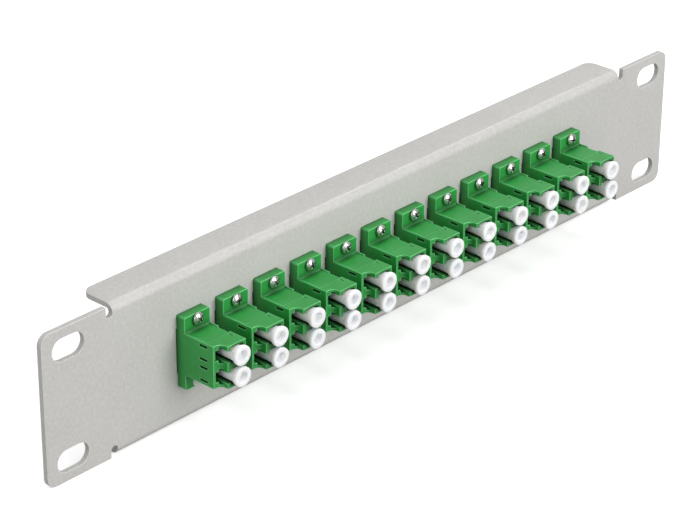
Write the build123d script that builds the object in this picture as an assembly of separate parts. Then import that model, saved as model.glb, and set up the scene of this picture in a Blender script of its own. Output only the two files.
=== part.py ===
from build123d import *
import math
import os

# Fibre patch panel for a ten inch rack: a folded steel sheet with a row of duplex fibre adapters.
# X runs along the panel, Z is up, and the adapters point towards -Y.
# The origin is the middle of the sheet's front face. All sizes are in millimetres.

# Folded sheet
panel_length = 254.0
panel_height = 43.6
sheet = 1.5
inner_bend_radius = 0.9
fold_depth = 11.6
fold_corner_radius = 3.0
ear_width = 21.5
ear_corner_radius = 3.0
relief_width = 2.3
relief_past_bend = 0.9

# Rack slots in the ears
slot_from_end = 8.75
slot_spacing_z = 31.75
slot_length = 10.6
slot_height = 6.5

# Row of adapters
adapter_count = 12
adapter_pitch = 14.0
cutout_gap_side = 0.25
cutout_gap_end = 0.5

# Duplex adapter housing, stacked across its width from the latch side to the blank side
latch_wall = 0.65
latch_channel_depth = 1.05
lug_slot_depth = 0.9
neck_depth = 1.0
port_size = 4.65
blank_wall = 0.9
end_wall = 0.7
port_pitch = 6.25
latch_channel_width = 3.0
lug_slot_width = 4.75
neck_width = 3.3

# Lengths of the housing, measured from the sheet's front face
latch_wall_reach = 13.4
front_reach = 16.0
rear_reach = 12.6
front_curve_radius = 1.6
floor_thickness = 1.0

# Screw flange
flange_length = 21.2
flange_thickness = 3.0
flange_corner_chamfer = 0.3
screw_spacing = 18.0
screw_hole_clearance = 0.2
flange_notch_diameter = 3.9
flange_notch_mouth = 2.0

# Details of the housing's outside
clip_recess_depth = 0.2
clip_recess_border = 0.6
clip_recess_start = 0.3
clip_recess_end = 10.6
side_recess_depth = 0.5
side_recess_start = 6.2
side_recess_end = 10.3
window_length = 2.8
window_height = 0.7
window_setback = 2.2
pocket_length = 1.5
pocket_width = 0.4
pocket_depth = 0.4
pocket_inset = 1.1
pocket_setback = 0.5
key_notch_width = 1.0
key_notch_depth = 0.3
key_notch_length = 2.0

# Ferrule sleeves and the bosses that hold them
sleeve_length = 6.8
sleeve_diameter = 1.6
sleeve_bore = 1.25
sleeve_slit = 0.3
sleeve_clearance = 0.03
boss_diameter = 2.7
boss_lip = 1.5
ferrule_clearance = 0.05

# Dust caps
cap_shank_clearance = 0.15
cap_head_diameter = 5.6
cap_rim_thickness = 0.8
cap_stand_off = 2.3
cap_end_gap = 0.4
cap_dimple_diameter = 3.0
cap_dimple_depth = 2.0

# Screws and nuts
screw_diameter = 2.0
screw_length = 8.0
screw_head_diameter = 3.5
screw_head_height = 1.3
nut_across_flats = 4.0
nut_thickness = 1.6

# Round details that repeat are made with this many flats
rod_sides = 8
cap_sides = 12

# Worked out from the sizes above
outer_bend_radius = inner_bend_radius + sheet
half_length = panel_length / 2
half_height = panel_height / 2
fold_half_length = half_length - ear_width - relief_width
slot_spacing_x = panel_length - 2 * slot_from_end
housing_width = (
    latch_wall + latch_channel_depth + lug_slot_depth + neck_depth + port_size + blank_wall
)
housing_height = port_pitch + port_size + 2 * end_wall
latch_face = -housing_width / 2
blank_face = housing_width / 2
channel_x = latch_face + latch_wall
lug_x = channel_x + latch_channel_depth
neck_x = lug_x + lug_slot_depth
square_x = neck_x + neck_depth
port_axis_x = square_x + port_size / 2
sleeve_middle = (front_reach - rear_reach) / 2
boss_length = sleeve_length / 2 + boss_lip
cap_shank_diameter = port_size - 2 * cap_shank_clearance
cap_insertion = front_reach - sleeve_middle - boss_length - cap_end_gap
screw_hole_diameter = screw_diameter + screw_hole_clearance
flange_hole_diameter = screw_diameter + 2 * screw_hole_clearance


def slab(x_min, x_max, y_min, y_max, z_min, z_max):
    """A box given by its faces."""
    size = (x_max - x_min, y_max - y_min, z_max - z_min)
    middle = ((x_min + x_max) / 2, (y_min + y_max) / 2, (z_min + z_max) / 2)
    return Pos(*middle) * Box(*size)


def rod(diameter, y_from, y_to, x=0.0, z=0.0):
    """A bar along Y with its corners on the given diameter."""
    section = Plane.XZ.offset(-y_from) * Pos(x, z) * RegularPolygon(diameter / 2, rod_sides)
    return extrude(section, amount=y_from - y_to)


def bore(diameter, y_from, y_to, x=0.0, z=0.0):
    """A bar along Y with its flats on the given diameter, to cut a hole that clears it."""
    return rod(diameter / math.cos(math.pi / rod_sides), y_from, y_to, x, z)


def both_signs(value):
    return (-value, value)


def adapter_places():
    """Middle of each adapter along the row, from left to right."""
    first = -adapter_pitch * (adapter_count - 1) / 2
    return [first + adapter_pitch * index for index in range(adapter_count)]


# The sheet

def panel_sheet():
    """The sheet: a flat front with two ears, and a fold along its top and its bottom."""
    inner_half_height = half_height - sheet
    outline = Plane.YZ * Pos(fold_depth / 2, 0) * Rectangle(fold_depth, panel_height)
    hollow_width = fold_depth - sheet
    hollow = Plane.YZ * Pos(sheet + hollow_width / 2, 0) * Rectangle(hollow_width, 2 * inner_half_height)
    channel = extrude(outline, amount=fold_half_length, both=True)
    channel = fillet(channel.edges().filter_by(Axis.X).sort_by(Axis.Y)[:2], outer_bend_radius)
    hollow = extrude(hollow, amount=fold_half_length, both=True)
    hollow = fillet(hollow.edges().filter_by(Axis.X).sort_by(Axis.Y)[:2], inner_bend_radius)
    channel = channel - hollow
    back_corners = channel.edges().filter_by(Axis.Z).sort_by(Axis.Y)[-4:]
    channel = fillet(back_corners, fold_corner_radius)
    return channel + ear_plate()


def ear_plate():
    """The flat of the sheet, from ear to ear, below the bends, with its bend reliefs."""
    plate = Plane.XZ * Rectangle(panel_length, panel_height)
    plate = fillet(plate.vertices(), ear_corner_radius)
    bend_zone = outer_bend_radius + relief_past_bend
    for side in both_signs(1):
        edge = side * half_height
        plate -= Plane.XZ * Pos(0, edge) * Rectangle(2 * fold_half_length, 2 * outer_bend_radius)
        for end in both_signs(1):
            relief_x = end * (fold_half_length + relief_width / 2)
            straight = bend_zone - relief_width / 2
            plate -= Plane.XZ * Pos(relief_x, edge) * Rectangle(relief_width, 2 * straight)
            plate -= Plane.XZ * Pos(relief_x, edge - side * straight) * Circle(relief_width / 2)
    return extrude(plate, amount=-sheet)


def rack_slots():
    """The four obround slots that the rack's screws pass through."""
    slots = []
    for x in both_signs(slot_spacing_x / 2):
        for z in both_signs(slot_spacing_z / 2):
            outline = Plane.XZ * Pos(x, z) * SlotOverall(slot_length, slot_height)
            slots.append(extrude(outline, amount=2 * sheet, both=True))
    return slots


def panel_cuts(x):
    """One adapter's opening in the sheet, with its two screw holes."""
    half_width = housing_width / 2 + cutout_gap_side
    half_opening = housing_height / 2 + cutout_gap_end
    cuts = [slab(x - half_width, x + half_width, -sheet, 2 * sheet, -half_opening, half_opening)]
    for z in both_signs(screw_spacing / 2):
        cuts.append(bore(screw_hole_diameter, -sheet, 2 * sheet, x, z))
    return cuts


def front_panel():
    panel = panel_sheet()
    cuts = rack_slots()
    for x in adapter_places():
        cuts += panel_cuts(x)
    return panel - cuts


# The adapter housing

def housing_block(latch_reach, blank_reach):
    """Outside of one half: its front edge steps forward in a curve past the latch side."""
    curve = front_curve_radius
    bottom = Plane.XY.offset(-housing_height / 2)
    latch_side = Line((latch_face, 0), (latch_face, -latch_reach))
    latch_front = Line(latch_side @ 1, (neck_x - curve, -latch_reach))
    sweep_forward = TangentArc(latch_front @ 1, (neck_x, -latch_reach - curve), tangent=latch_front % 1)
    step = Line(sweep_forward @ 1, (neck_x, -blank_reach))
    front = Line(step @ 1, (blank_face, -blank_reach))
    blank_side = Line(front @ 1, (blank_face, 0))
    base = Line(blank_side @ 1, latch_side @ 0)
    outline = make_face([latch_side, latch_front, sweep_forward, step, front, blank_side, base])
    return extrude(bottom * outline, amount=housing_height)


def port_outline(z):
    """Mouth of one port: a square, with a neck, a slot for the latch lugs and the latch channel."""
    steps = (
        (channel_x, lug_x, latch_channel_width),
        (lug_x, neck_x, lug_slot_width),
        (neck_x, square_x, neck_width),
        (square_x, square_x + port_size, port_size),
    )
    outline = None
    for start, end, width in steps:
        piece = Pos((start + end) / 2, z) * Rectangle(end - start, width)
        outline = piece if outline is None else outline + piece
    return outline


def ports(reach):
    """The two pockets that the plugs go into, down to the floor that carries the bosses."""
    pockets = []
    for z in both_signs(port_pitch / 2):
        mouth = Plane.XZ.offset(floor_thickness) * port_outline(z)
        pockets.append(extrude(mouth, amount=reach))
    return pockets


def sleeve_bosses(middle):
    """Tubes on the floor of the ports. The sleeves' middle lies this far in front of the floor's foot."""
    tip = -boss_length - middle
    return [rod(boss_diameter, 0, tip, port_axis_x, z) for z in both_signs(port_pitch / 2)]


def sleeve_bores(middle):
    """The seat of each sleeve, and the narrower hole for the ferrule in front of it."""
    seat = sleeve_diameter + 2 * sleeve_clearance
    seat_end = -sleeve_length / 2 - sleeve_clearance - middle
    ferrule_hole = sleeve_bore + 2 * ferrule_clearance
    tip = -boss_length - middle
    bores = []
    for z in both_signs(port_pitch / 2):
        bores.append(bore(seat, 0, seat_end, port_axis_x, z))
        bores.append(bore(ferrule_hole, 0, tip, port_axis_x, z))
    return bores


def clip_recesses():
    """Shallow recesses in the two ends of the housing."""
    start = -flange_thickness - clip_recess_start
    end = -clip_recess_end
    left = latch_face + clip_recess_border
    right = blank_face - side_recess_depth
    half = housing_height / 2
    recesses = []
    for side in both_signs(1):
        low, high = sorted((side * (half - clip_recess_depth), side * half))
        recesses.append(slab(left, right, end, start, low, high))
    return recesses


def latch_windows():
    """Four narrow windows in the latch wall, beside the latch channels."""
    middle = (latch_channel_width + lug_slot_width) / 4
    front = -latch_wall_reach + window_setback
    windows = []
    for port_z in both_signs(port_pitch / 2):
        for z in (port_z - middle, port_z + middle):
            low = z - window_height / 2
            high = z + window_height / 2
            windows.append(slab(latch_face, lug_x, front, front + window_length, low, high))
    return windows


def side_details():
    """The recess in the blank side, the small pockets beside it and the notch between the ports."""
    half = housing_height / 2
    recess_x = blank_face - side_recess_depth
    cuts = [slab(recess_x, blank_face, -side_recess_end, -side_recess_start, -half, half)]
    pocket_x = blank_face - pocket_inset
    pocket_y = -clip_recess_end - pocket_setback
    for side in both_signs(1):
        low, high = sorted((side * (half - pocket_depth), side * half))
        cuts.append(slab(pocket_x - pocket_width, pocket_x, pocket_y - pocket_length, pocket_y, low, high))
    notch_x = square_x + port_size
    notch = slab(
        notch_x, notch_x + key_notch_depth, -front_reach, -front_reach + key_notch_length,
        -key_notch_width / 2, key_notch_width / 2,
    )
    cuts.append(notch)
    return cuts


def flange():
    """Plate across the housing that lies on the sheet, with a hole above and an open notch below."""
    plate = Plane.XZ * Rectangle(housing_width, flange_length)
    plate = chamfer(plate.vertices(), flange_corner_chamfer)
    hole = RegularPolygon(flange_hole_diameter / 2, rod_sides, major_radius=False)
    half_spacing = screw_spacing / 2
    mouth_run = flange_length / 2 - half_spacing
    plate -= Plane.XZ * Pos(0, half_spacing) * hole
    plate -= Plane.XZ * Pos(0, -half_spacing) * Circle(flange_notch_diameter / 2)
    plate -= Plane.XZ * Pos(0, -half_spacing - mouth_run / 2) * Rectangle(flange_notch_mouth, mouth_run)
    return extrude(plate, amount=flange_thickness)


def front_half():
    body = housing_block(latch_wall_reach, front_reach) + flange()
    body -= ports(front_reach)
    body += sleeve_bosses(sleeve_middle)
    return body - sleeve_bores(sleeve_middle) - clip_recesses() - latch_windows() - side_details()


def rear_half():
    """The half behind the sheet. It passes through the opening and is welded to the front half."""
    step = front_reach - latch_wall_reach
    body = housing_block(rear_reach - step, rear_reach)
    body -= ports(rear_reach)
    body += sleeve_bosses(-sleeve_middle)
    body -= sleeve_bores(-sleeve_middle)
    return mirror(body, about=Plane.XZ)


def split_sleeve():
    """A slit tube that lines two ferrules up."""
    ring = RegularPolygon(sleeve_diameter / 2, rod_sides)
    ring -= RegularPolygon(sleeve_bore / 2, rod_sides, major_radius=False)
    ring -= Pos(sleeve_diameter / 2, 0) * Rectangle(sleeve_diameter, sleeve_slit)
    return extrude(Plane.XZ.offset(sleeve_middle) * ring, amount=sleeve_length / 2, both=True)


# Dust caps

def cap_section(diameter, depth):
    """Section of a cap at this depth behind its visible face."""
    return Plane.XZ.offset(-depth) * RegularPolygon(diameter / 2, cap_sides)


def dust_cap():
    """A plug that flares out from the port's mouth to a rim, and is cored from its face."""
    head = extrude(cap_section(cap_head_diameter, 0), amount=-cap_rim_thickness)
    rim_back = cap_section(cap_head_diameter, cap_rim_thickness)
    mouth = cap_section(cap_shank_diameter, cap_stand_off)
    shank = extrude(mouth, amount=-cap_insertion)
    dimple = extrude(cap_section(cap_dimple_diameter, 0), amount=-cap_dimple_depth)
    return head + loft([rim_back, mouth], ruled=True) + shank - dimple


def front_cap():
    return Pos(0, -front_reach - cap_stand_off, 0) * dust_cap()


def rear_cap():
    return Pos(0, rear_reach + cap_stand_off, 0) * mirror(dust_cap(), about=Plane.XZ)


# Fasteners

def flange_screw():
    """Screw through the flange and the sheet."""
    head_start = -flange_thickness
    head = rod(screw_head_diameter, head_start, head_start - screw_head_height)
    shank = rod(screw_diameter, head_start, head_start + screw_length)
    return head + shank


def flange_nut():
    """Hexagon nut behind the sheet."""
    hexagon = RegularPolygon(nut_across_flats / 2, 6, major_radius=False)
    nut = extrude(Plane.XZ.offset(-sheet) * hexagon, amount=-nut_thickness)
    return nut - rod(screw_diameter, 0, screw_length)


def write(name, solids):
    """One node: a single solid, or a group of like solids."""
    group = solids[0] if len(solids) == 1 else Compound(children=list(solids))
    export_step(group, f"parts/{name}.step")


def port_places():
    """Axis of each port along the row and up."""
    return [
        (x + port_axis_x, z)
        for x in adapter_places()
        for z in both_signs(port_pitch / 2)
    ]


def screw_places():
    """The upper hole of each flange. The notch below is left open."""
    return [(x, screw_spacing / 2) for x in adapter_places()]


def copies(piece, places):
    return [Pos(x, 0, z) * piece for x, z in places]


os.makedirs("parts", exist_ok=True)
write("front_panel", [front_panel()])

front = front_half()
rear = rear_half()
cap = front_cap()
for number, x in enumerate(adapter_places(), start=1):
    write(f"adapter_{number:02d}_front_half", [Pos(x, 0, 0) * front])
    write(f"adapter_{number:02d}_rear_half", [Pos(x, 0, 0) * rear])
    for place, z in (("lower", -port_pitch / 2), ("upper", port_pitch / 2)):
        write(f"dust_cap_{number:02d}_{place}", [Pos(x + port_axis_x, 0, z) * cap])

write("rear_dust_caps", copies(rear_cap(), port_places()))
write("ferrule_sleeves", copies(split_sleeve(), port_places()))
write("flange_screws", copies(flange_screw(), screw_places()))
write("flange_nuts", copies(flange_nut(), screw_places()))
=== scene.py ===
import math
import bmesh
import bpy
from mathutils import Matrix, Vector


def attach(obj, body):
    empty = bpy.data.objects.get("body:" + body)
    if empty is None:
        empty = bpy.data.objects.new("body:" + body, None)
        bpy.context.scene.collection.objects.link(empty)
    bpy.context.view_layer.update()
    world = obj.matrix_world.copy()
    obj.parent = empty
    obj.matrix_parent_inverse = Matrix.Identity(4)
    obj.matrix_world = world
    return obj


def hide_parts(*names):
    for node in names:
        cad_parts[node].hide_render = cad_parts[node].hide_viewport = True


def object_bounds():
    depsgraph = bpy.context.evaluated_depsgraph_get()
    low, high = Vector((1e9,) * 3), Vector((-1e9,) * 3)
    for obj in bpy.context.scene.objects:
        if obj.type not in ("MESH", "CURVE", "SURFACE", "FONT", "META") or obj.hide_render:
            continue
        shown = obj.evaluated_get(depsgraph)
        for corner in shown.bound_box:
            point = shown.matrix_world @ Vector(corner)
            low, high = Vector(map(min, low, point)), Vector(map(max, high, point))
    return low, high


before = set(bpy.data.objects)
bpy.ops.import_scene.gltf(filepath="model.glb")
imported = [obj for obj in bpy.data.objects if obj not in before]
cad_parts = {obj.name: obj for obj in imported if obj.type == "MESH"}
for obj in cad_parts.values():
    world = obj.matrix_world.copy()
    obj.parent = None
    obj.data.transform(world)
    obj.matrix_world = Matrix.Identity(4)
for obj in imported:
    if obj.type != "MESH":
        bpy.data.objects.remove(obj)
cad_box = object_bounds()

# The panel is one steel sheet, cut and punched, then folded back along its top and its bottom.
# It is powder coated light grey. The coat rounds the cut edges and dries with a fine orange peel,
# and everything else on the object is fixed to it.

MM = 0.001
SAME_POINT = 0.002 * MM
SHEET_CREASE = math.radians(35)
PANEL_EDGE = 0.3 * MM
PANEL_REACH = 1.2 * MM
PANEL_GRAINS = 1000.0
PANEL_DRIFT = 55.0
PANEL_ROUGHNESS = (0.3, 0.44)
PANEL_SPECKLING = (-0.6, 0.9)
PANEL_PEEL = {"Strength": 0.8, "Distance": 0.1 * MM}
GRAIN_DETAIL = {"Detail": 2.0, "Roughness": 0.55}
DRIFT_DETAIL = {"Detail": 3.0}
DRIFT_RANGE = {"From Min": 0.3, "From Max": 0.7}
EDGE_SAMPLES = 8
EDGE_RANGE = {"From Min": 0.998, "From Max": 0.95}
OPEN_RANGE = {"From Min": 0.45, "From Max": 0.95}
PANEL_GREY = (0.505, 0.496, 0.477, 1)
PANEL_GREY_DEEP = (0.475, 0.466, 0.447, 1)
PANEL_SPECKLE = (0.6, 0.6, 0.575, 1)
# Painted highlight colour for the panel's outer edges.
PANEL_PAINTED_HIGHLIGHT_GREY = (0.66, 0.66, 0.64, 1)


def put(tree, kind, inputs=None, **settings):
    """Adds a node: its settings first, then each input as a value or as a link."""
    made = tree.nodes.new(kind)
    for name, value in settings.items():
        setattr(made, name, value)
    for name, value in (inputs or {}).items():
        if isinstance(value, bpy.types.NodeSocket):
            tree.links.new(value, made.inputs[name])
        else:
            made.inputs[name].default_value = value
    return made


def new_group(name, kind, inputs, outputs):
    """An empty node group with these named sockets: its tree, what it is given and what it returns."""
    group = bpy.data.node_groups.new(name, kind)
    for label, socket, value in inputs:
        made = group.interface.new_socket(label, in_out="INPUT", socket_type=socket)
        if value is not None:
            made.default_value = value
    for label, socket in outputs:
        group.interface.new_socket(label, in_out="OUTPUT", socket_type=socket)
    given = group.nodes.new("NodeGroupInput").outputs
    returned = group.nodes.new("NodeGroupOutput").inputs
    return group, given, returned


def maths(tree, operation, *values, kind="ShaderNodeMath"):
    """The result of one sum on numbers or on links."""
    return put(tree, kind, dict(enumerate(values)), operation=operation).outputs["Value"]


def fine_grain():
    """Grain of a coated or moulded surface: its height, and a slow drift in tone."""
    group, given, returned = new_group(
        "fine grain", "ShaderNodeTree",
        [("Position", "NodeSocketVector", None), ("Grains per metre", "NodeSocketFloat", PANEL_GRAINS),
         ("Drift per metre", "NodeSocketFloat", PANEL_DRIFT)],
        [("Height", "NodeSocketFloat"), ("Tone", "NodeSocketFloat")],
    )
    grain = put(group, "ShaderNodeTexNoise", {
        "Vector": given["Position"], "Scale": given["Grains per metre"], **GRAIN_DETAIL})
    drift = put(group, "ShaderNodeTexNoise", {
        "Vector": given["Position"], "Scale": given["Drift per metre"], **DRIFT_DETAIL})
    tone = put(group, "ShaderNodeMapRange", {"Value": drift.outputs["Fac"], **DRIFT_RANGE})
    group.links.new(grain.outputs["Fac"], returned["Height"])
    group.links.new(tone.outputs["Result"], returned["Tone"])
    return group


def soft_edge():
    """Rounded edges: the rounding itself, a mask of the outer edges for painted highlights, and how open the
    surface lies, for painted shade or light in hollows.
    """
    group, given, returned = new_group(
        "soft edge", "ShaderNodeTree",
        [("Radius", "NodeSocketFloat", PANEL_EDGE), ("Reach", "NodeSocketFloat", PANEL_REACH)],
        [("Normal", "NodeSocketVector"), ("Mask", "NodeSocketFloat"), ("Open", "NodeSocketFloat")],
    )
    softened = put(group, "ShaderNodeBevel", {"Radius": given["Radius"]}, samples=EDGE_SAMPLES)
    flat = put(group, "ShaderNodeNewGeometry")
    alike = put(group, "ShaderNodeVectorMath", {
        0: softened.outputs["Normal"], 1: flat.outputs["Normal"]}, operation="DOT_PRODUCT")
    mask = put(group, "ShaderNodeMapRange", {"Value": alike.outputs["Value"], **EDGE_RANGE})
    nearby = put(group, "ShaderNodeAmbientOcclusion", {"Distance": given["Reach"]}, samples=EDGE_SAMPLES)
    clear = put(group, "ShaderNodeMapRange", {"Value": nearby.outputs["AO"], **OPEN_RANGE})
    outer = maths(group, "MULTIPLY", mask.outputs["Result"], clear.outputs["Result"])
    group.links.new(softened.outputs["Normal"], returned["Normal"])
    group.links.new(outer, returned["Mask"])
    group.links.new(clear.outputs["Result"], returned["Open"])
    return group


def use_group(tree, group, inputs):
    """Places a node group in a material: what it returns."""
    return put(tree, "ShaderNodeGroup", inputs, node_tree=group).outputs


def new_material(name, grain, grains, drift):
    """A material: its tree, its shader, and its grain at these sizes over the piece."""
    material = bpy.data.materials.new(name)
    material.use_nodes = True
    tree = material.node_tree
    position = put(tree, "ShaderNodeTexCoord").outputs["Object"]
    grained = use_group(tree, grain, {
        "Position": position, "Grains per metre": grains, "Drift per metre": drift})
    return material, tree, tree.nodes["Principled BSDF"], grained


def tint(tree, amount, first, second):
    """Colour that goes from the first to the second as the amount goes from nothing to one."""
    mix = put(tree, "ShaderNodeMix", data_type="RGBA")
    sockets = {socket.identifier: socket for socket in mix.inputs}
    tree.links.new(amount, sockets["Factor_Float"])
    for key, colour in (("A_Color", first), ("B_Color", second)):
        if isinstance(colour, bpy.types.NodeSocket):
            tree.links.new(colour, sockets[key])
        else:
            sockets[key].default_value = colour
    return next(socket for socket in mix.outputs if socket.identifier == "Result_Color")


def between(tree, amount, low, high):
    """Number that goes from low to high with the amount."""
    return put(tree, "ShaderNodeMapRange", {"Value": amount, "To Min": low, "To Max": high}).outputs["Result"]


def raise_grain(tree, shader, height, relief, edge=None):
    """Bumps the shader's surface by the grain, over its rounded edges."""
    bump = put(tree, "ShaderNodeBump", {"Height": height, **relief})
    if edge is not None:
        tree.links.new(edge["Normal"], bump.inputs["Normal"])
    tree.links.new(bump.outputs["Normal"], shader.inputs["Normal"])


def powder_coat(grain, rounding):
    """Light grey coat with an orange peel, and a painted highlight along its outer edges."""
    material, tree, shader, peel = new_material("powder coat light grey", grain, PANEL_GRAINS, PANEL_DRIFT)
    edge = use_group(tree, rounding, {"Radius": PANEL_EDGE, "Reach": PANEL_REACH})
    body = tint(tree, peel["Tone"], PANEL_GREY_DEEP, PANEL_GREY)
    speckled = tint(tree, between(tree, peel["Height"], *PANEL_SPECKLING), body, PANEL_SPECKLE)
    # Painted highlight: the outer edges are made lighter in the colour itself.
    colour = tint(tree, edge["Mask"], speckled, PANEL_PAINTED_HIGHLIGHT_GREY)
    tree.links.new(colour, shader.inputs["Base Color"])
    tree.links.new(between(tree, peel["Height"], *PANEL_ROUGHNESS), shader.inputs["Roughness"])
    raise_grain(tree, shader, peel["Height"], PANEL_PEEL, edge)
    return material


def new_object(name, data):
    """An object in the scene for this mesh, light or camera."""
    made = bpy.data.objects.new(name, data)
    bpy.context.scene.collection.objects.link(made)
    return made


def smooth_copy(node, name):
    """A copy of a part's mesh, joined up, smooth over its bends and sharp along its edges."""
    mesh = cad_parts[node].data.copy()
    mesh.name = name
    form = bmesh.new()
    form.from_mesh(mesh)
    bmesh.ops.remove_doubles(form, verts=form.verts, dist=SAME_POINT)
    for face in form.faces:
        face.smooth = True
    for edge in form.edges:
        edge.smooth = edge.calc_face_angle(math.pi) < SHEET_CREASE
    form.to_mesh(mesh)
    form.free()
    mesh.materials.clear()
    return new_object(name, mesh)


def fit(piece, material, slot, body, *nodes):
    """Gives a finished piece its material and hangs it on its body in place of the part's nodes."""
    piece.data.materials.clear()
    piece.data.materials.append(material)
    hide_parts(*nodes)
    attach(piece, body)


grain = fine_grain()
rounding = soft_edge()
panel = smooth_copy("front_panel", "panel_sheet")
fit(panel, powder_coat(grain, rounding), "powder_coat", "panel", "front_panel")

# Twelve duplex adapters stand in the panel's openings. Each is moulded in green plastic in two
# halves. The front half has the screw flange, the two ports with the latch channels, and the
# narrow windows beside them, and its edges are rounded by the mould.

HOUSING_EDGE = 0.4 * MM
HOUSING_REACH = 2.5 * MM
HOUSING_GRAINS = 5200.0
HOUSING_DRIFT = 160.0
HOUSING_ROUGHNESS = (0.34, 0.5)
HOUSING_SPARK = {"Strength": 0.2, "Distance": 0.02 * MM}
ADAPTERS = 12
ADAPTER_PITCH = 14 * MM
HOUSING_GREEN = (0.023, 0.31, 0.053, 1)
HOUSING_GREEN_DEEP = (0.018, 0.26, 0.04, 1)
# Painted highlight colour for the housings' outer edges.
HOUSING_PAINTED_HIGHLIGHT_GREEN = (0.15, 0.62, 0.22, 1)
# Painted shade colour for the housings' corners and recesses.
HOUSING_PAINTED_SHADE_GREEN = (0.006, 0.085, 0.013, 1)


def moulded_green(grain, rounding):
    """Green plastic with the mould's texture, a painted highlight along its edges and painted shade in its
    corners.
    """
    material, tree, shader, spark = new_material(
        "moulded green plastic", grain, HOUSING_GRAINS, HOUSING_DRIFT)
    edge = use_group(tree, rounding, {"Radius": HOUSING_EDGE, "Reach": HOUSING_REACH})
    body = tint(tree, spark["Tone"], HOUSING_GREEN_DEEP, HOUSING_GREEN)
    # Painted shade: darker green in corners and recesses, such as deep in the ports.
    shaded = tint(tree, edge["Open"], HOUSING_PAINTED_SHADE_GREEN, body)
    # Painted highlight along the outer edges.
    colour = tint(tree, edge["Mask"], shaded, HOUSING_PAINTED_HIGHLIGHT_GREEN)
    tree.links.new(colour, shader.inputs["Base Color"])
    tree.links.new(between(tree, spark["Height"], *HOUSING_ROUGHNESS), shader.inputs["Roughness"])
    raise_grain(tree, shader, spark["Height"], HOUSING_SPARK, edge)
    return material


def along_row(piece, name, steps):
    """A copy of a finished piece, so many adapters further along the row."""
    mesh = piece.data.copy()
    mesh.transform(Matrix.Translation((steps * ADAPTER_PITCH, 0, 0)))
    return new_object(name, mesh)


green = moulded_green(grain, rounding)


def fit_row(half):
    """One half of every adapter, all from the first one's mould."""
    first = smooth_copy(f"adapter_01_{half}", f"adapter_{half}_01")
    for steps in range(ADAPTERS):
        number = f"{steps + 1:02d}"
        piece = along_row(first, f"adapter_{half}_{number}", steps) if steps else first
        fit(piece, green, "adapter_plastic", "panel", f"adapter_{number}_{half}")


fit_row("front_half")

# The rear halves are moulded in the same plastic. Each passes through its opening from behind
# and is welded to its front half, so that both sides of the panel have the same ports.

fit_row("rear_half")

# A slit ceramic sleeve sits in the middle of each port, where it lines two ferrules up. It is
# ground and polished, and nearly white. It can be seen only deep in an open port.

CERAMIC = (0.86, 0.84, 0.79, 1)
CERAMIC_DEEP = (0.8, 0.78, 0.73, 1)
CERAMIC_GRAINS = 9000.0
CERAMIC_DRIFT = 300.0
CERAMIC_ROUGHNESS = (0.12, 0.25)
CERAMIC_MARKS = {"Strength": 0.05, "Distance": 0.01 * MM}


def polished_ceramic(grain):
    """Nearly white ceramic with faint marks of grinding."""
    material, tree, shader, ground = new_material("polished ceramic", grain, CERAMIC_GRAINS, CERAMIC_DRIFT)
    tree.links.new(tint(tree, ground["Tone"], CERAMIC_DEEP, CERAMIC), shader.inputs["Base Color"])
    tree.links.new(between(tree, ground["Height"], *CERAMIC_ROUGHNESS), shader.inputs["Roughness"])
    raise_grain(tree, shader, ground["Height"], CERAMIC_MARKS)
    return material


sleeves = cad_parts["ferrule_sleeves"]
sleeves.data.materials.clear()
sleeves.data.materials.append(polished_ceramic(grain))

# A pan-head screw goes through the upper hole of each flange and through the sheet. It is
# nickel-plated steel with a cross recess, and no two stand at the same turn. The notch at the
# lower end of each flange is left empty.

SCREW_SEAT = -3.0 * MM
SCREW_HEIGHT = 9.0 * MM
QUARTER_TURN = math.pi / 2
NICKEL = (0.78, 0.77, 0.76, 1)
NICKEL_DEEP = (0.58, 0.57, 0.56, 1)
# Painted shade colour for the nickel's recesses.
NICKEL_PAINTED_SHADE = (0.1, 0.1, 0.1, 1)
NICKEL_EDGE = 0.06 * MM
NICKEL_REACH = 0.4 * MM
NICKEL_GRAINS = 2600.0
NICKEL_DRIFT = 700.0
NICKEL_MARKS = {"Strength": 0.12, "Distance": 0.02 * MM}
BRIGHT_ROUGHNESS = (0.1, 0.26)
SCREW_CREASE = math.radians(35)
SEAM = 0.001 * MM
ROUNDING_STEPS = 3


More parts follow.
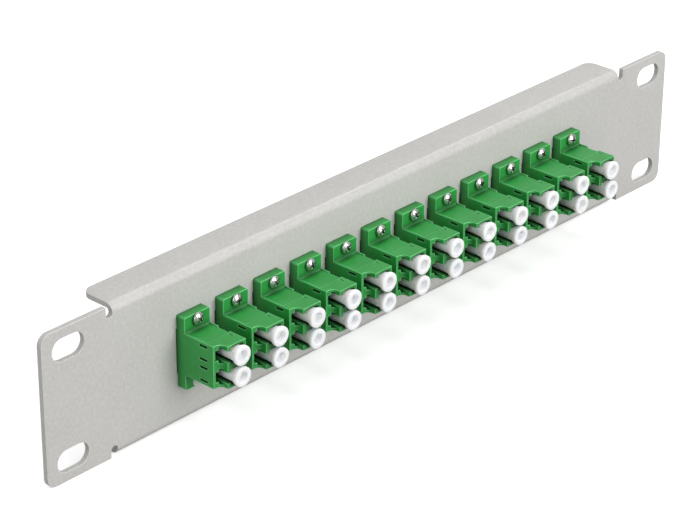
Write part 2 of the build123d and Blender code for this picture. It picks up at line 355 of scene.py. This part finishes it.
def turned(tree, corners, rounding, sides):
    """A turned solid round the Y axis. corners are the radius and depth of its half section."""
    index = put(tree, "GeometryNodeInputIndex").outputs["Index"]
    choice = put(tree, "GeometryNodeIndexSwitch", {"Index": index}, data_type="VECTOR")
    while len(choice.index_switch_items) < len(corners):
        choice.index_switch_items.new()
    for number, (radius, depth) in enumerate(corners):
        corner = put(tree, "ShaderNodeCombineXYZ", {"X": radius, "Y": depth})
        tree.links.new(corner.outputs["Vector"], choice.inputs[str(number)])
    line = put(tree, "GeometryNodeMeshLine", {"Count": len(corners)})
    section = put(tree, "GeometryNodeSetPosition", {
        "Geometry": line.outputs["Mesh"], "Position": choice.outputs["Output"]})
    curve = put(tree, "GeometryNodeMeshToCurve", {"Mesh": section.outputs["Geometry"]})
    rounded = put(tree, "GeometryNodeFilletCurve", {
        "Curve": curve.outputs["Curve"], "Count": ROUNDING_STEPS, "Radius": rounding,
        "Limit Radius": True}, mode="POLY")
    count = put(tree, "GeometryNodeAttributeDomainSize", {
        "Geometry": rounded.outputs["Curve"]}, component="CURVE").outputs["Point Count"]
    whole_numbers = "FunctionNodeIntegerMath"
    seam = maths(tree, "ADD", sides, 1, kind=whole_numbers)
    skin = put(tree, "GeometryNodeMeshGrid", {"Vertices X": seam, "Vertices Y": count})
    step = maths(tree, "DIVIDE_FLOOR", index, count, kind=whole_numbers)
    point = maths(tree, "MODULO", index, count, kind=whole_numbers)
    place = put(tree, "GeometryNodeInputPosition").outputs["Position"]
    sampled = put(tree, "GeometryNodeSampleIndex", {
        "Geometry": rounded.outputs["Curve"], "Value": place, "Index": point}, data_type="FLOAT_VECTOR")
    on_section = put(tree, "ShaderNodeSeparateXYZ", {"Vector": sampled.outputs["Value"]}).outputs
    angle = maths(tree, "MULTIPLY", maths(tree, "DIVIDE", step, sides), math.tau)
    across = maths(tree, "MULTIPLY", maths(tree, "COSINE", angle), on_section["X"])
    upward = maths(tree, "MULTIPLY", maths(tree, "SINE", angle), on_section["X"])
    spun = put(tree, "ShaderNodeCombineXYZ", {"X": across, "Y": on_section["Y"], "Z": upward})
    skin = put(tree, "GeometryNodeSetPosition", {
        "Geometry": skin.outputs["Mesh"], "Position": spun.outputs["Vector"]})
    closed = put(tree, "GeometryNodeMergeByDistance", {
        "Geometry": skin.outputs["Geometry"], "Distance": SEAM})
    return closed.outputs["Geometry"]


def at_places(tree, given, returned, shape, rotation=None):
    """Ends a tree: the shape at each point that the tree is given, as real faces with their material."""
    spread = put(tree, "GeometryNodeInstanceOnPoints", {"Points": given["Places"], "Instance": shape})
    if rotation is not None:
        tree.links.new(rotation, spread.inputs["Rotation"])
    real = put(tree, "GeometryNodeRealizeInstances", {"Geometry": spread.outputs["Instances"]})
    painted = put(tree, "GeometryNodeSetMaterial", {
        "Geometry": real.outputs["Geometry"], "Material": given["Material"]})
    tree.links.new(painted.outputs["Geometry"], returned["Geometry"])


def new_shape_tree(name, sizes):
    """A geometry tree that takes places, a material and these sizes."""
    inputs = [("Places", "NodeSocketGeometry", None), ("Material", "NodeSocketMaterial", None)]
    inputs += [(label, "NodeSocketInt" if isinstance(value, int) else "NodeSocketFloat", value)
               for label, value in sizes.items()]
    return new_group(name, "GeometryNodeTree", inputs, [("Geometry", "NodeSocketGeometry")])


def settled(piece):
    """Turns what the modifiers make into the piece's own mesh."""
    shown = piece.evaluated_get(bpy.context.evaluated_depsgraph_get())
    mesh = bpy.data.meshes.new_from_object(shown)
    piece.modifiers.clear()
    piece.data = mesh


def grown(name, tree, places, values, crease):
    """A plain mesh of what the tree makes at these places, with its normals facing out."""
    points = bpy.data.meshes.new(name)
    points.from_pydata(places, [], [])
    piece = new_object(name, points)
    modifier = piece.modifiers.new("shape", "NODES")
    modifier.node_group = tree
    sockets = {item.name: item.identifier for item in tree.interface.items_tree if item.in_out == "INPUT"}
    for label, value in values.items():
        modifier[sockets[label]] = value
    settled(piece)
    form = bmesh.new()
    form.from_mesh(piece.data)
    bmesh.ops.recalc_face_normals(form, faces=form.faces)
    for face in form.faces:
        face.smooth = True
        face.material_index = 0
    for edge in form.edges:
        edge.smooth = edge.calc_face_angle(0) < crease
    form.to_mesh(piece.data)
    form.free()
    return piece


def screw_tree():
    """Domed head with a cross recess, shank, and the thread that shows behind the nut."""
    sizes = {"Head radius": 1.75 * MM, "Head height": 1.3 * MM, "Rim height": 0.75 * MM,
             "Crown radius": 0.95 * MM, "Edge rounding": 0.3 * MM, "Recess length": 2.4 * MM,
             "Recess width": 0.5 * MM, "Recess depth": 0.75 * MM, "Thread radius": 1.0 * MM,
             "Core radius": 0.84 * MM, "Length": 8.0 * MM, "Pitch": 0.4 * MM,
             "Sides": 32, "Thread corners": 4, "Steps per turn": 14, "Seed": 5}
    tree, given, returned = new_shape_tree("pan head screw", sizes)
    head_top = maths(tree, "SUBTRACT", 0.0, given["Head height"])
    head_rim = maths(tree, "SUBTRACT", 0.0, given["Rim height"])
    corners = [
        (0.0, head_top), (given["Crown radius"], head_top), (given["Head radius"], head_rim),
        (given["Head radius"], 0.0), (given["Core radius"], 0.0), (given["Core radius"], given["Length"]),
        (0.0, given["Length"]),
    ]
    blank = turned(tree, corners, given["Edge rounding"], given["Sides"])
    cutters = put(tree, "GeometryNodeJoinGeometry")
    depth = maths(tree, "ADD", given["Recess depth"], given["Recess depth"])
    arms = ((given["Recess length"], given["Recess width"]), (given["Recess width"], given["Recess length"]))
    for wide, high in arms:
        size = put(tree, "ShaderNodeCombineXYZ", {"X": wide, "Y": depth, "Z": high})
        arm = put(tree, "GeometryNodeMeshCube", {"Size": size.outputs["Vector"]})
        move = put(tree, "ShaderNodeCombineXYZ", {"Y": head_top})
        seated = put(tree, "GeometryNodeTransform", {
            "Geometry": arm.outputs["Mesh"], "Translation": move.outputs["Vector"]})
        tree.links.new(seated.outputs["Geometry"], cutters.inputs["Geometry"])
    cut = put(tree, "GeometryNodeMeshBoolean", {
        "Mesh 1": blank, "Mesh 2": cutters.outputs["Geometry"], "Self Intersection": True},
        operation="DIFFERENCE", solver="EXACT")
    turns = maths(tree, "DIVIDE", given["Length"], given["Pitch"])
    spiral = put(tree, "GeometryNodeCurveSpiral", {
        "Resolution": given["Steps per turn"], "Rotations": turns, "Start Radius": given["Core radius"],
        "End Radius": given["Core radius"], "Height": given["Length"]})
    ridge_size = maths(tree, "SUBTRACT", given["Thread radius"], given["Core radius"])
    ridge = put(tree, "GeometryNodeCurvePrimitiveCircle", {
        "Resolution": given["Thread corners"], "Radius": ridge_size})
    thread = put(tree, "GeometryNodeCurveToMesh", {
        "Curve": spiral.outputs["Curve"], "Profile Curve": ridge.outputs["Curve"], "Fill Caps": True})
    laid = put(tree, "GeometryNodeTransform", {
        "Geometry": thread.outputs["Mesh"], "Rotation": (-QUARTER_TURN, 0, 0)})
    whole = put(tree, "GeometryNodeJoinGeometry", {"Geometry": cut.outputs["Mesh"]})
    tree.links.new(laid.outputs["Geometry"], whole.inputs["Geometry"])
    chance = put(tree, "FunctionNodeRandomValue", {"Seed": given["Seed"]}, data_type="FLOAT")
    share = next(socket for socket in chance.outputs if socket.enabled)
    turn = maths(tree, "MULTIPLY", share, QUARTER_TURN)
    rotation = put(tree, "ShaderNodeCombineXYZ", {"Y": turn}).outputs["Vector"]
    at_places(tree, given, returned, whole.outputs["Geometry"], rotation)
    return tree


def nickel_plate(name, grain, rounding, roughness):
    """Nickel plate with faint marks of tumbling and painted shade in its recesses, between its smoothest and
    its roughest.
    """
    material, tree, shader, marks = new_material(name, grain, NICKEL_GRAINS, NICKEL_DRIFT)
    edge = use_group(tree, rounding, {"Radius": NICKEL_EDGE, "Reach": NICKEL_REACH})
    plate = tint(tree, marks["Tone"], NICKEL_DEEP, NICKEL)
    # Painted shade: darker in recesses such as the cross recess.
    tree.links.new(tint(tree, edge["Open"], NICKEL_PAINTED_SHADE, plate), shader.inputs["Base Color"])
    tree.links.new(between(tree, marks["Height"], *roughness), shader.inputs["Roughness"])
    shader.inputs["Metallic"].default_value = 1
    raise_grain(tree, shader, marks["Height"], NICKEL_MARKS, edge)
    return material


def row_places(depth, height):
    """The same place on each adapter."""
    first = -ADAPTER_PITCH * (ADAPTERS - 1) / 2
    return [(first + ADAPTER_PITCH * step, depth, height) for step in range(ADAPTERS)]


bright_nickel = nickel_plate("bright nickel plate", grain, rounding, BRIGHT_ROUGHNESS)
screws = grown("flange_screws_plated", screw_tree(), row_places(SCREW_SEAT, SCREW_HEIGHT),
               {"Material": bright_nickel}, SCREW_CREASE)
fit(screws, bright_nickel, "screw_steel", "panel", "flange_screws")

# A hexagon nut holds each screw behind the sheet. It is plated like the screw, a little duller,
# with the usual chamfer on both faces.

NUT_SEAT = 1.5 * MM
NUT_ACROSS_FLATS = 4.0 * MM
NUT_CREASE = math.radians(25)
DULL_ROUGHNESS = (0.28, 0.5)


def nut_tree():
    """A hexagon prism cut by a chamfered blank, with a plain bore."""
    sizes = {"Corner radius": NUT_ACROSS_FLATS / math.sqrt(3), "Chamfer radius": 1.95 * MM,
             "Chamfer height": 0.2 * MM, "Thickness": 1.6 * MM, "Bore radius": 1.0 * MM, "Sides": 36}
    tree, given, returned = new_shape_tree("hexagon nut", sizes)
    prism = put(tree, "GeometryNodeMeshCylinder", {
        "Vertices": 6, "Radius": given["Corner radius"], "Depth": given["Thickness"]})
    half = maths(tree, "DIVIDE", given["Thickness"], 2.0)
    middle = put(tree, "ShaderNodeCombineXYZ", {"Y": half}).outputs["Vector"]
    hexagon = put(tree, "GeometryNodeTransform", {
        "Geometry": prism.outputs["Mesh"], "Translation": middle, "Rotation": (QUARTER_TURN, 0, 0)})
    shoulder = maths(tree, "SUBTRACT", given["Thickness"], given["Chamfer height"])
    corners = [
        (given["Bore radius"], 0.0), (given["Chamfer radius"], 0.0),
        (given["Corner radius"], given["Chamfer height"]), (given["Corner radius"], shoulder),
        (given["Chamfer radius"], given["Thickness"]), (given["Bore radius"], given["Thickness"]),
        (given["Bore radius"], 0.0),
    ]
    blank = turned(tree, corners, 0.0, given["Sides"])
    nut = put(tree, "GeometryNodeMeshBoolean", {
        "Mesh 2": hexagon.outputs["Geometry"]}, operation="INTERSECT", solver="EXACT")
    tree.links.new(blank, nut.inputs["Mesh 2"])
    at_places(tree, given, returned, nut.outputs["Mesh"])
    return tree


dull_nickel = nickel_plate("dull nickel plate", grain, rounding, DULL_ROUGHNESS)
nuts = grown("flange_nuts_plated", nut_tree(), row_places(NUT_SEAT, SCREW_HEIGHT),
             {"Material": dull_nickel}, NUT_CREASE)
fit(nuts, dull_nickel, "nut_steel", "panel", "flange_nuts")

# A dust cap closes every port. It is a soft white plastic plug that flares out from the port's
# mouth to a narrow rim, with a round dimple in its face. It lets a little light through, and it
# pulls straight out.

PORT_AXIS = 1.35 * MM
PORT_LEVELS = {"lower": -3.125 * MM, "upper": 3.125 * MM}
CAP_FACE = -18.3 * MM
CAP_WHITE = (0.8, 0.8, 0.81, 1)
CAP_WHITE_DEEP = (0.76, 0.76, 0.77, 1)
# Painted light colour for the caps' hollows, lighter than the cap's own white.
CAP_PAINTED_LIGHT_IN_HOLLOWS = (0.9, 0.9, 0.91, 1)
CAP_EDGE = 0.1 * MM
CAP_REACH = 2.5 * MM
CAP_GRAINS = 3800.0
CAP_DRIFT = 220.0
CAP_ROUGHNESS = (0.68, 0.82)
CAP_HAZE = {"Strength": 0.12, "Distance": 0.02 * MM}
CAP_CREASE = math.radians(40)
CAP_GLOW_THROUGH = {"Subsurface Weight": 0.7, "Subsurface Radius": (1.0, 0.8, 0.7),
                    "Subsurface Scale": 2.0 * MM}


def cap_tree():
    """A round plug that flares out to a rim, with a dimple in its face."""
    sizes = {"Head radius": 2.8 * MM, "Rim thickness": 0.8 * MM, "Flare end": 2.3 * MM,
             "Shank radius": 2.175 * MM, "Length": 11.3 * MM, "Dimple radius": 1.5 * MM,
             "Dimple depth": 2.0 * MM, "Edge rounding": 0.2 * MM, "Sides": 40}
    tree, given, returned = new_shape_tree("dust cap", sizes)
    corners = [
        (0.0, given["Dimple depth"]), (given["Dimple radius"], given["Dimple depth"]),
        (given["Dimple radius"], 0.0), (given["Head radius"], 0.0),
        (given["Head radius"], given["Rim thickness"]), (given["Shank radius"], given["Flare end"]),
        (given["Shank radius"], given["Length"]), (0.0, given["Length"]),
    ]
    at_places(tree, given, returned, turned(tree, corners, given["Edge rounding"], given["Sides"]))
    return tree


def soft_white(grain, rounding):
    """Dull white plastic that lets a little light through, painted lighter in its hollows such as the dimple.
    """
    material, tree, shader, haze = new_material("soft white plastic", grain, CAP_GRAINS, CAP_DRIFT)
    edge = use_group(tree, rounding, {"Radius": CAP_EDGE, "Reach": CAP_REACH})
    body = tint(tree, haze["Tone"], CAP_WHITE_DEEP, CAP_WHITE)
    # Painted light: hollows such as the dimple are made lighter in the colour itself.
    tree.links.new(tint(tree, edge["Open"], CAP_PAINTED_LIGHT_IN_HOLLOWS, body), shader.inputs["Base Color"])
    tree.links.new(between(tree, haze["Height"], *CAP_ROUGHNESS), shader.inputs["Roughness"])
    for name, value in CAP_GLOW_THROUGH.items():
        shader.inputs[name].default_value = value
    raise_grain(tree, shader, haze["Height"], CAP_HAZE, edge)
    return material


def port_axis(steps):
    """How far along the panel the two ports of an adapter stand."""
    return (steps - (ADAPTERS - 1) / 2) * ADAPTER_PITCH + PORT_AXIS


white = soft_white(grain, rounding)
cap_shape = cap_tree()
for steps in range(ADAPTERS):
    for level, height in PORT_LEVELS.items():
        port = f"{steps + 1:02d}_{level}"
        cap = grown(f"front_cap_{port}", cap_shape, [(port_axis(steps), CAP_FACE, height)],
                    {"Material": white}, CAP_CREASE)
        fit(cap, white, "cap_plastic", f"cap_{port}", f"dust_cap_{port}")

# The same caps close the ports behind the panel. They are made in one go here, turned to face
# the other way.

REAR_FACE = 14.9 * MM
rear_places = [(port_axis(steps), -REAR_FACE, height)
               for steps in range(ADAPTERS) for height in PORT_LEVELS.values()]
rear_caps = grown("rear_caps", cap_shape, rear_places, {"Material": white}, CAP_CREASE)
rear_caps.data.transform(Matrix.Scale(-1, 4, (0, 1, 0)))
rear_caps.data.flip_normals()
fit(rear_caps, white, "cap_plastic", "panel", "rear_dust_caps")

# The panel stands on white paper over a lit table, under soft studio light: a wide softbox
# overhead, one in front, one at the left and one behind. The camera looks down from the left.

FLOOR_SIZE = 12.0
FLOOR_WHITE = (0.93, 0.93, 0.93, 1)
FLOOR_WHITE_DEEP = (0.9, 0.9, 0.9, 1)
FLOOR_BOUNCE = (0.35, 0.35, 0.35, 1)
FLOOR_GLOW = 0.42
FLOOR_FIBRES = 400.0
FLOOR_DRIFT = 3.0
FLOOR_ROUGHNESS = 0.9
FLOOR_TOOTH = {"Strength": 0.03, "Distance": 0.1 * MM}
WORLD_WHITE = (1, 1, 1, 1)
WORLD_STRENGTH = 0.5
CAMERA_AZIMUTH = -47.45
CAMERA_ELEVATION = 27.02
CAMERA_ROLL = 0.38
CAMERA_DISTANCE = 730.92 * MM
CAMERA_RIGHT = -10.67 * MM
CAMERA_UP = -4.7 * MM
CAMERA_LENS = 134.85
CAMERA_NEAR = 10 * MM


def paper(grain):
    """White paper over a light. It gives the object back less light than the camera sees."""
    material, tree, shader, fibre = new_material("white paper", grain, FLOOR_FIBRES, FLOOR_DRIFT)
    seen = put(tree, "ShaderNodeLightPath").outputs["Is Camera Ray"]
    sheet = tint(tree, fibre["Tone"], FLOOR_WHITE_DEEP, FLOOR_WHITE)
    tree.links.new(tint(tree, seen, FLOOR_BOUNCE, sheet), shader.inputs["Base Color"])
    tree.links.new(between(tree, seen, 0.0, FLOOR_GLOW), shader.inputs["Emission Strength"])
    shader.inputs["Roughness"].default_value = FLOOR_ROUGHNESS
    shader.inputs["Emission Color"].default_value = FLOOR_WHITE
    raise_grain(tree, shader, fibre["Height"], FLOOR_TOOTH)
    return material


def towards(azimuth, elevation):
    """The direction at these angles in degrees, from straight in front and level."""
    turn, rise = math.radians(azimuth), math.radians(elevation)
    return Vector((math.sin(turn) * math.cos(rise), -math.cos(turn) * math.cos(rise), math.sin(rise)))


def softbox(name, azimuth, elevation, distance, size, power):
    """A square soft light that looks at the object from that direction."""
    lamp = bpy.data.lights.new(name, "AREA")
    lamp.shape = "SQUARE"
    lamp.size = size
    lamp.energy = power
    light = new_object(name, lamp)
    back = towards(azimuth, elevation)
    light.location = back * distance
    light.rotation_euler = (-back).to_track_quat("-Z", "Y").to_euler()


def studio_floor(grain):
    """A wide sheet of the paper, level with the object's lowest edge."""
    mesh = bpy.data.meshes.new("floor")
    half = FLOOR_SIZE / 2
    level = cad_box[0].z
    mesh.from_pydata([(-half, -half, level), (half, -half, level), (half, half, level), (-half, half, level)],
                     [], [(0, 1, 2, 3)])
    mesh.materials.append(paper(grain))
    floor = new_object("floor", mesh)


def studio_camera():
    """The camera, from its angles, its distance and how far the view is moved right and up."""
    turn, roll = math.radians(CAMERA_AZIMUTH), math.radians(CAMERA_ROLL)
    back = towards(CAMERA_AZIMUTH, CAMERA_ELEVATION)
    level = Vector((math.cos(turn), math.sin(turn), 0))
    upright = back.cross(level)
    right = level * math.cos(roll) + upright * math.sin(roll)
    up = upright * math.cos(roll) - level * math.sin(roll)
    camera = new_object("camera", bpy.data.cameras.new("camera"))
    camera.data.lens = CAMERA_LENS
    camera.data.clip_start = CAMERA_NEAR
    axes = Matrix((right, up, back)).transposed().to_4x4()
    place = right * CAMERA_RIGHT + up * CAMERA_UP + back * CAMERA_DISTANCE
    camera.matrix_world = Matrix.Translation(place) @ axes
    bpy.context.scene.camera = camera


studio_floor(grain)
softbox("light overhead", azimuth=10, elevation=80, distance=1.6, size=1.0, power=6.4)
softbox("light front", azimuth=8, elevation=22, distance=1.2, size=0.8, power=10.5)
softbox("light left", azimuth=-85, elevation=22, distance=1.6, size=1.0, power=6)
softbox("light behind", azimuth=113, elevation=43, distance=2.0, size=0.5, power=5)
world = bpy.data.worlds.new("studio")
world.use_nodes = True
background = world.node_tree.nodes["Background"].inputs
background["Color"].default_value = WORLD_WHITE
background["Strength"].default_value = WORLD_STRENGTH
bpy.context.scene.world = world
bpy.context.scene.view_settings.view_transform = "Standard"
studio_camera()
